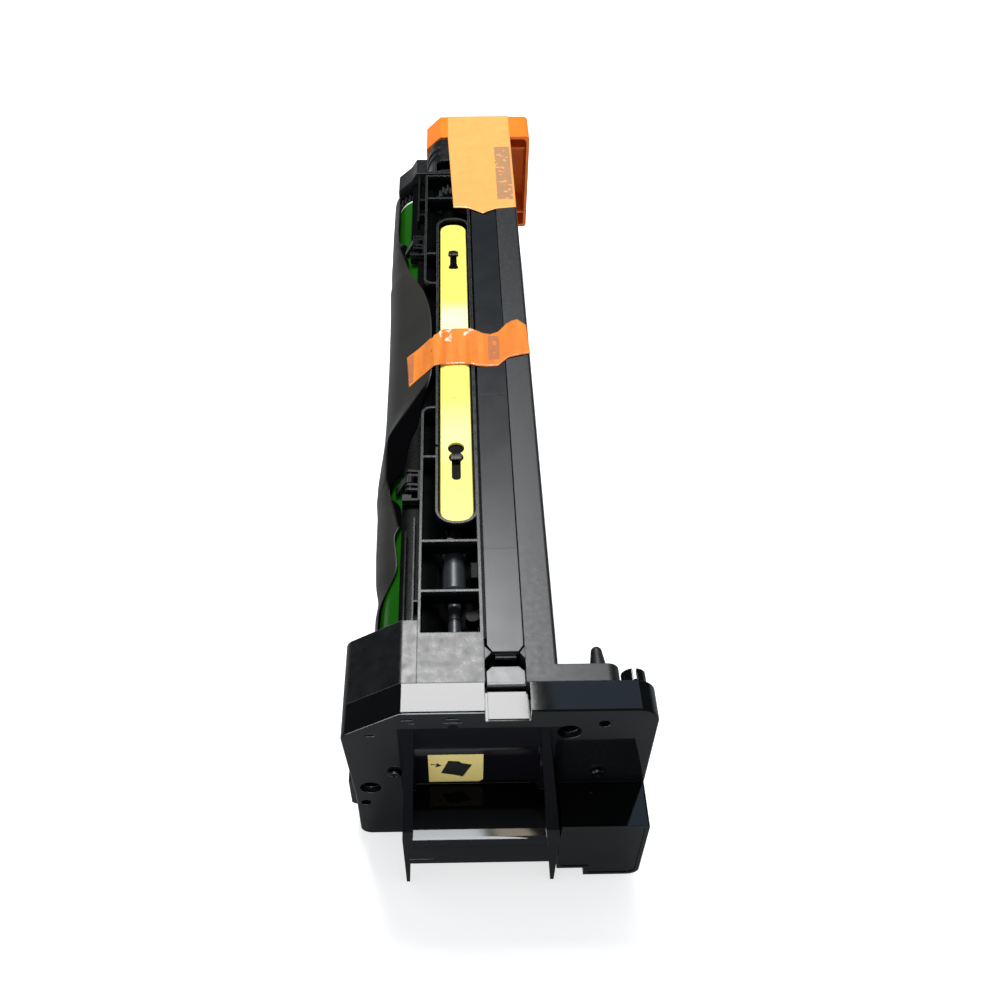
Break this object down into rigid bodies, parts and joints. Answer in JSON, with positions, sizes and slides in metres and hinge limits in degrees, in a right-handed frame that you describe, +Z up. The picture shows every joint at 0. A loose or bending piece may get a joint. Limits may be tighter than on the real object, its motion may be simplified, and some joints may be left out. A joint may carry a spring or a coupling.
{
  "type": "printer drum unit",
  "caption": "Long drum cartridge with a glossy handled front cover, ribbed top frame, yellow carry strap and orange shipping cap.",
  "frame": {"origin": "centre of the footprint at the level the unit rests on", "axes": "+Z up, +Y from the front cover to the drive end"},
  "size_m": [0.1266, 0.4908, 0.1103],
  "materials": {
    "frame_plastic": "fine-grained moulding",
    "rail_plastic": "mottled moulding",
    "gloss_black": "glossy moulding",
    "catch_plastic": "satin",
    "strip_plastic": "smooth satin",
    "strap_yellow": "soft satin",
    "cap_orange": "satin",
    "tape_orange": "translucent tape",
    "film_black": "satin film",
    "grey_plastic": "moulding",
    "gear_white": "moulding",
    "drum_green": "coated and polished",
    "steel": "plain",
    "roller_rubber": "ground",
    "blade_urethane": "smooth"
  },
  "bodies": {
    "frame": {"main_frame": "frame_plastic", "front_end_frame": "frame_plastic", "rear_end_frame": "frame_plastic", "waste_duct": "rail_plastic", "waste_bin": "frame_plastic", "charger_housing": "frame_plastic", "front_cover": "gloss_black", "box_panel": "gloss_black", "latch_panel": "gloss_black", "duct_strip": "strip_plastic", "carry_strap": "strap_yellow", "end_cap": "cap_orange", "wide_tape": "tape_orange", "narrow_tape": "tape_orange", "light_shield": "film_black", "auger_tube": "grey_plastic", "drum_bearings": "grey_plastic", "roller_holders": "gear_white", "holder_springs": "steel", "cleaning_blade": "blade_urethane", "blade_bracket": "steel", "earth_contact": "steel", "finger_brackets": "frame_plastic", "finger_pins": "steel", "front_screws": "steel"},
    "drum": {"drum_tube": "drum_green", "drum_front_flange": "grey_plastic", "drum_rear_flange": "gear_white", "drum_gear": "frame_plastic", "drum_shaft": "steel"},
    "auger": {"auger_screw": "grey_plastic", "auger_pinion": "grey_plastic", "drive_coupling": "grey_plastic"},
    "charger": {"charge_roller": "roller_rubber", "charge_core": "steel"},
    "stripper_near": {"finger_near": "grey_plastic"},
    "stripper_far": {"finger_far": "grey_plastic"},
    "catch": {"slide_catch": "catch_plastic"}
  },
  "joints": [
    {"name": "drum_spin", "type": "hinge", "parent": "frame", "child": "drum", "pos_m": [-0.0333, 0, 0.084], "axis": [0, 1, 0], "continuous": true},
    {"name": "auger_spin", "type": "hinge", "parent": "frame", "child": "auger", "pos_m": [-0.0155, 0, 0.09703], "axis": [0, 1, 0], "continuous": true},
    {"name": "charger_spin", "type": "hinge", "parent": "frame", "child": "charger", "pos_m": [-0.02977, 0, 0.06401], "axis": [0, 1, 0], "continuous": true},
    {"name": "finger_near_lift", "type": "hinge", "parent": "frame", "child": "stripper_near", "pos_m": [-0.0354, -0.0982, 0.1052], "axis": [0, 1, 0], "range_deg": [0, 15]},
    {"name": "finger_far_lift", "type": "hinge", "parent": "frame", "child": "stripper_far", "pos_m": [-0.0354, 0.0978, 0.1052], "axis": [0, 1, 0], "range_deg": [0, 15]},
    {"name": "catch_slide", "type": "slide", "parent": "frame", "child": "catch", "axis": [0, 1, 0], "range_m": [0, 0.003]}
  ],
  "couplings": [
    {"joint": "auger_spin", "follows": "drum_spin", "ratio": -2.1429},
    {"joint": "charger_spin", "follows": "drum_spin", "ratio": -3}
  ]
}
